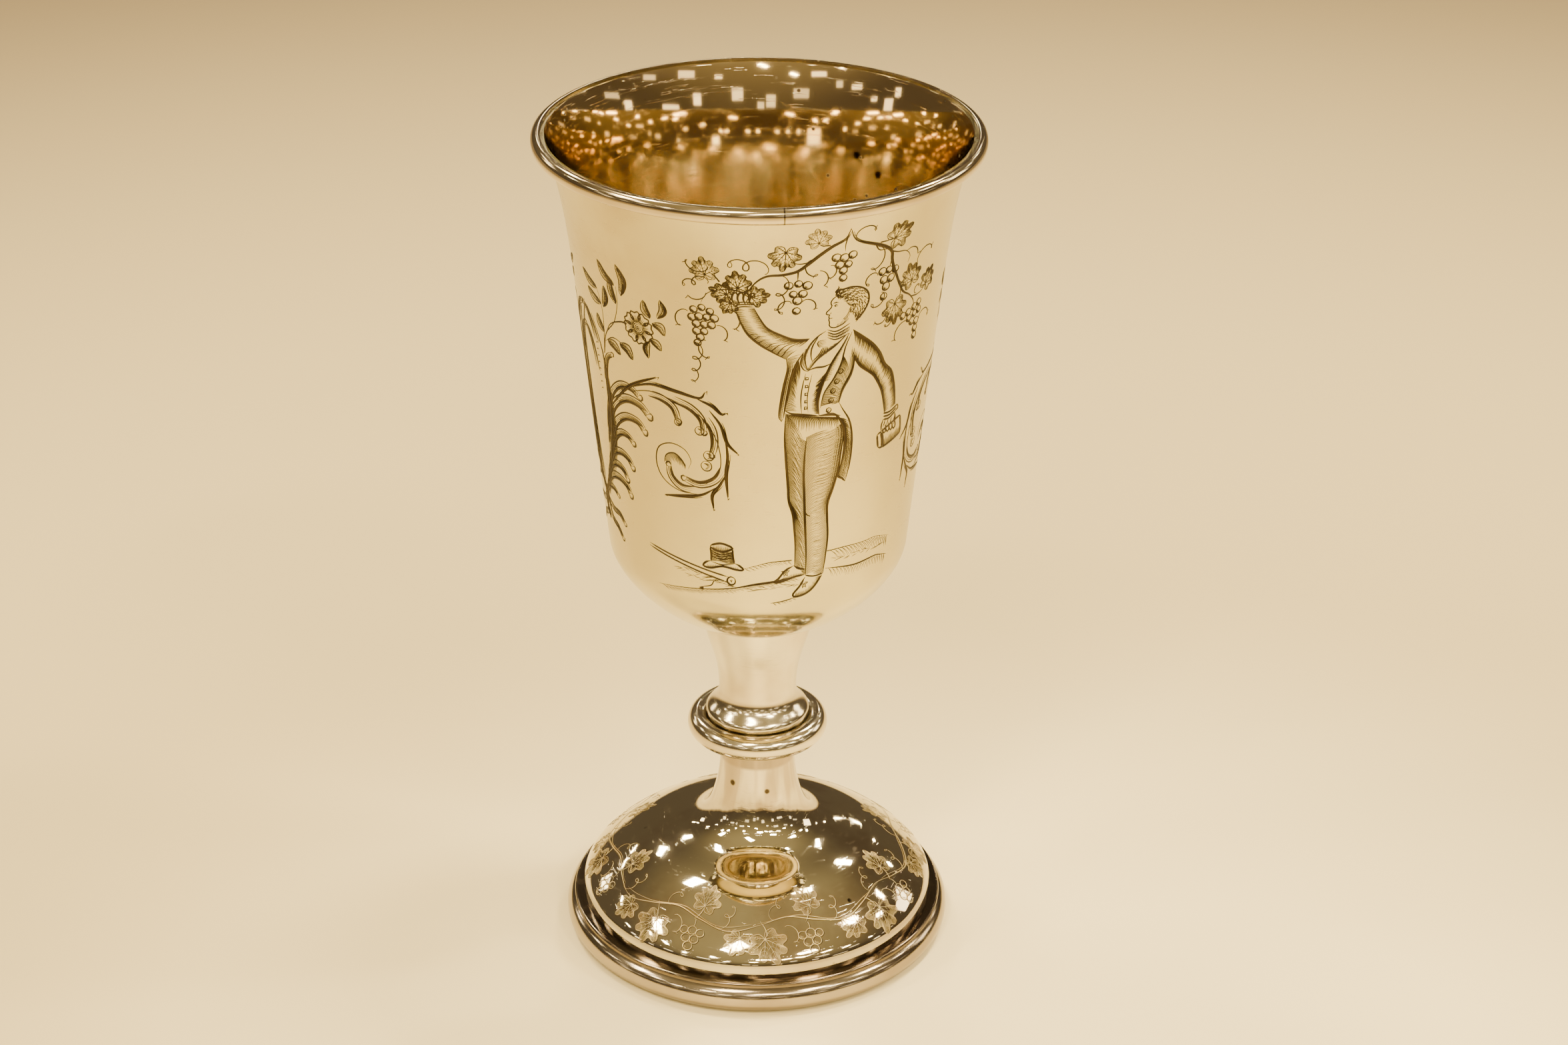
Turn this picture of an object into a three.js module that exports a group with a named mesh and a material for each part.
// A silver communion cup: a bell-shaped bowl with a wire round its lip, a waisted stem, a ring at the knop and a domed,
// spreading foot on a moulded base. Every piece is turned about the Z axis. Millimetres, +Z up, origin at the middle of
// the standing ring.
import * as THREE from "three";

// The turning
const SIDES = 48;
const SOLDER_GAP = 0.05;

// Base moulding: an ovolo and a fillet that stand on the table and carry the foot
const BASE_RADIUS = 43.5;
const BASE_WIDTH = 5.9;
const OVOLO_WIDTH = 3.4;
const OVOLO_HEIGHT = 6.8;
const FILLET_RADIUS = 0.55;
const LEDGE_HEIGHT = 7.3;

// Foot: a short upright wall, a dome and a neck, raised from one sheet
const FOOT_SHEET = 0.9;
const FOOT_STEP = 4.0;
const FOOT_WALL_HEIGHT = 2.7;
const SWEEP_RADIUS = 26.5;
const SWEEP_HEIGHT = 21.0;
const SWEEP_ANGLE = 155;
const NECK_RADIUS = 8.1;
const NECK_TOP = 48.6;

// Knop ring: a round-edged collar between the neck and the stem
const RING_RADIUS = 15.6;
const RING_HALF_WIDTH = 2.6;
const RING_HALF_HEIGHT = 2.75;
const RING_SEAT_THICKNESS = 3.1;
const RING_BORE_RADIUS = 7.0;

// Stem: a bulge at the ring, a waist and a flare that meets the bowl
const STEM_SHEET = 1.0;
const STEM_SEAT_RADIUS = 10.3;
const BULGE_RADIUS = 11.6;
const BULGE_RISE = 1.8;
const WAIST_RADIUS = 8.6;
const WAIST_RISE = 7.6;
const STEM_TOP_RADIUS = 12.4;
const STEM_LENGTH = 26.0;
const STEM_TOP_ANGLE = 80;

// Bowl: a round bottom, a wall that opens evenly, and a lip that flares
const BOWL_SHEET = 0.9;
const BELLY_RADIUS = 32.3;
const BELLY_DEPTH = 22.2;
const BELLY_FULLNESS = 1.69;
const WALL_HEIGHT = 92.3;
const WALL_TAPER = 0.103;
const LIP_FLARE = 3.2;
const LIP_SHARPNESS = 10;

// Rim wire: soldered round the outside of the lip
const WIRE_HALF_WIDTH = 1.45;
const WIRE_HALF_HEIGHT = 1.75;
const WIRE_SEAT = 0.55;
const WIRE_RISE = 0.7;
const WIRE_WEB_ANGLE = 130;

// How far each end of a curve keeps its direction, as a share of the curve's own length
const SHOULDER_PULLS = [0.15, 0.26];
const NECK_PULLS = [0.33, 0.85];
const BULGE_PULLS = [0.34, 0.48];
const WAIST_PULLS = [0.25, 0.55];
const FLARE_PULLS = [0.43, 0.42];
const BULGE_ANGLE = 34;

// Radii that follow the base
const BASE_INNER_RADIUS = BASE_RADIUS - BASE_WIDTH;
const FOOT_RADIUS = BASE_RADIUS - FOOT_STEP;

// Points on each curve of the outlines
const BELLY_STEPS = 7;
const WALL_STEPS = 6;
const SHOULDER_STEPS = 4;
const NECK_STEPS = 8;
const STEM_STEPS = 3;
const RING_STEPS = 8;
const OVOLO_STEPS = 3;
const WIRE_STEPS = 3;

const silver = () =>
  new THREE.MeshStandardMaterial({ color: 0xd9cfb4, roughness: 0.16, metalness: 1.0 });

const point = (radius, height) => new THREE.Vector2(radius, height);
const radians = THREE.MathUtils.degToRad;

// Points from one angle to another on an ellipse, both ends included.
function ellipseArc(centre, halfWidth, halfHeight, from, to, steps) {
  return Array.from({ length: steps + 1 }, (_, i) => {
    const angle = radians(from + ((to - from) * i) / steps);
    return point(centre.x + halfWidth * Math.cos(angle), centre.y + halfHeight * Math.sin(angle));
  });
}

// A curve that leaves its start and reaches its end at the given angles from the outward radius.
function sweep(start, startAngle, end, endAngle, pulls, steps) {
  const length = start.distanceTo(end);
  const heading = (angle, pull) =>
    point(Math.cos(radians(angle)), Math.sin(radians(angle))).multiplyScalar(length * pull);
  const leaving = start.clone().add(heading(startAngle, pulls[0]));
  const arriving = end.clone().sub(heading(endAngle, pulls[1]));
  return new THREE.CubicBezierCurve(start, leaving, arriving, end).getPoints(steps);
}

// The same line moved sideways by a sheet's thickness, towards the left of its direction.
function innerSide(line, thickness) {
  return line.map((here, i) => {
    const before = line[Math.max(i - 1, 0)];
    const after = line[Math.min(i + 1, line.length - 1)];
    const along = after.clone().sub(before).normalize();
    return point(here.x - along.y * thickness, here.y + along.x * thickness);
  });
}

// The height of a line at a radius, and its radius at a height, on its straight facets.
function heightAt(line, radius) {
  const i = Math.max(1, line.findIndex((p) => p.x > radius));
  const share = (radius - line[i - 1].x) / (line[i].x - line[i - 1].x);
  return THREE.MathUtils.lerp(line[i - 1].y, line[i].y, share);
}

function radiusAt(line, height) {
  const i = Math.max(1, line.findIndex((p) => p.y > height));
  const share = (height - line[i - 1].y) / (line[i].y - line[i - 1].y);
  return THREE.MathUtils.lerp(line[i - 1].x, line[i].x, share);
}

// A closed outline of radius and height, turned about the Z axis.
function turned(name, outline) {
  const geometry = new THREE.LatheGeometry([...outline, outline[0].clone()], SIDES);
  geometry.rotateX(Math.PI / 2);
  const mesh = new THREE.Mesh(geometry, silver());
  mesh.name = name;
  return mesh;
}

// The moulding: a flat underside to stand on, the ovolo, the fillet, and the ledge under the foot.
function baseMoulding() {
  const centre = point(BASE_RADIUS - OVOLO_WIDTH, OVOLO_HEIGHT / 2);
  const lower = ellipseArc(centre, OVOLO_WIDTH, OVOLO_HEIGHT / 2, -90, 0, OVOLO_STEPS);
  const upper = ellipseArc(centre, OVOLO_WIDTH, OVOLO_HEIGHT / 2, 0, 60, OVOLO_STEPS - 1);
  const filletFoot = upper[upper.length - 1];
  const filletCentre = point(filletFoot.x - FILLET_RADIUS, LEDGE_HEIGHT - FILLET_RADIUS);
  const fillet = ellipseArc(filletCentre, FILLET_RADIUS, FILLET_RADIUS, 0, 90, 1);
  const innerEdge = [point(BASE_INNER_RADIUS, LEDGE_HEIGHT), point(BASE_INNER_RADIUS, 0)];
  return turned("base_moulding", [...lower, ...upper.slice(1), ...fillet, ...innerEdge]);
}

function foot() {
  const wallFoot = point(FOOT_RADIUS, LEDGE_HEIGHT + SOLDER_GAP);
  const wallTop = point(FOOT_RADIUS, wallFoot.y + FOOT_WALL_HEIGHT);
  const sweepStart = point(SWEEP_RADIUS, SWEEP_HEIGHT);
  const neckTop = point(NECK_RADIUS, NECK_TOP);
  const dome = sweep(wallTop, 90, sweepStart, SWEEP_ANGLE, SHOULDER_PULLS, SHOULDER_STEPS);
  const neck = sweep(sweepStart, SWEEP_ANGLE, neckTop, 90, NECK_PULLS, NECK_STEPS);
  const outer = [wallFoot, ...dome, ...neck.slice(1)];
  return turned("foot", [...outer, ...innerSide(outer, FOOT_SHEET).reverse()]);
}

const ringSeat = NECK_TOP + SOLDER_GAP;
const stemSeat = ringSeat + RING_SEAT_THICKNESS + SOLDER_GAP;

// The ring: flat seats above and below, inside a round edge.
function knopRing() {
  const centre = point(RING_RADIUS - RING_HALF_WIDTH, ringSeat + RING_SEAT_THICKNESS / 2);
  const reach = 180 - THREE.MathUtils.radToDeg(Math.asin(RING_SEAT_THICKNESS / 2 / RING_HALF_HEIGHT));
  return turned("knop_ring", [
    point(RING_BORE_RADIUS, ringSeat),
    ...ellipseArc(centre, RING_HALF_WIDTH, RING_HALF_HEIGHT, -reach, reach, RING_STEPS),
    point(RING_BORE_RADIUS, ringSeat + RING_SEAT_THICKNESS),
  ]);
}

// How full the belly is at a share of its depth below its middle.
const bellyShare = (drop) => Math.max(0, 1 - drop ** BELLY_FULLNESS) ** (1 / BELLY_FULLNESS);

// The belly's middle height, set so that the underside rests on the stem's top edge.
const seatShare = STEM_TOP_RADIUS / (BELLY_RADIUS - WALL_TAPER * BELLY_DEPTH);
const bellyHeight = stemSeat + STEM_LENGTH + SOLDER_GAP + BELLY_DEPTH * bellyShare(seatShare);

function bowlRadius(height) {
  const evenWall = BELLY_RADIUS + WALL_TAPER * (height - bellyHeight);
  const drop = (bellyHeight - height) / BELLY_DEPTH;
  const flare = Math.max(0, (height - bellyHeight) / WALL_HEIGHT) ** LIP_SHARPNESS;
  return evenWall * bellyShare(Math.max(0, drop)) + LIP_FLARE * flare;
}

// The bowl's outer line from the axis up to the lip, with its points closest at the bottom and at the lip.
function bowlLine() {
  const at = (height) => point(bowlRadius(height), height);
  const belly = Array.from({ length: BELLY_STEPS }, (_, i) =>
    at(bellyHeight - BELLY_DEPTH * Math.cos((Math.PI / 2) * (i / BELLY_STEPS))),
  );
  const wall = Array.from({ length: WALL_STEPS + 1 }, (_, i) =>
    at(bellyHeight + WALL_HEIGHT * Math.sin((Math.PI / 2) * (i / WALL_STEPS))),
  );
  belly[0].x = 0;
  return [...belly, ...wall];
}

const bowlOuter = bowlLine();
const lip = bowlOuter[bowlOuter.length - 1];

function bowl() {
  const inner = innerSide(bowlOuter, BOWL_SHEET);
  inner[0].x = 0;
  inner[inner.length - 1].y = lip.y;
  return turned("bowl", [...bowlOuter, ...inner.reverse()]);
}

// The stem: its foot stands on the ring, and its top edge follows the bowl's underside.
function stem() {
  const seat = point(STEM_SEAT_RADIUS, stemSeat);
  const bulge = point(BULGE_RADIUS, stemSeat + BULGE_RISE);
  const waist = point(WAIST_RADIUS, stemSeat + WAIST_RISE);
  const undersideAt = (radius) => point(radius, heightAt(bowlOuter, radius) - SOLDER_GAP);
  const outer = [
    ...sweep(seat, BULGE_ANGLE, bulge, 90, BULGE_PULLS, STEM_STEPS - 1),
    ...sweep(bulge, 90, waist, 90, WAIST_PULLS, STEM_STEPS).slice(1),
    ...sweep(waist, 90, undersideAt(STEM_TOP_RADIUS), STEM_TOP_ANGLE, FLARE_PULLS, STEM_STEPS).slice(1),
  ];
  const inner = innerSide(outer, STEM_SHEET);
  inner[0].y = stemSeat;
  const innerTop = inner.pop();
  const between = bowlOuter.filter((p) => p.x > innerTop.x && p.x < STEM_TOP_RADIUS).map((p) => p.x);
  const topEdge = [...between, innerTop.x].sort((a, b) => b - a).map(undersideAt);
  return turned("stem", [...outer, ...topEdge, ...inner.reverse()]);
}

// The wire: round outside, with its inner side following the lip's wall and a narrow web of solder under it.
function rimWire() {
  const centre = point(lip.x + SOLDER_GAP + WIRE_SEAT, lip.y + WIRE_RISE - WIRE_HALF_HEIGHT);
  const crest = THREE.MathUtils.radToDeg(Math.acos(-WIRE_SEAT / WIRE_HALF_WIDTH));
  const round = (from, to, steps) => ellipseArc(centre, WIRE_HALF_WIDTH, WIRE_HALF_HEIGHT, from, to, steps);
  const outside = [
    ...round(-WIRE_WEB_ANGLE, 0, WIRE_STEPS),
    ...round(0, 90, WIRE_STEPS).slice(1),
    ...round(90, crest, 1).slice(1),
  ];
  const webHeight = outside[0].y;
  const wall = bowlOuter.filter((p) => p.y > webHeight).reverse();
  wall.push(point(radiusAt(bowlOuter, webHeight), webHeight));
  return turned("rim_wire", [...outside, ...wall.map((p) => point(p.x + SOLDER_GAP, p.y))]);
}

const cup = new THREE.Group();
cup.add(baseMoulding(), foot(), knopRing(), stem(), bowl(), rimWire());

export default cup;
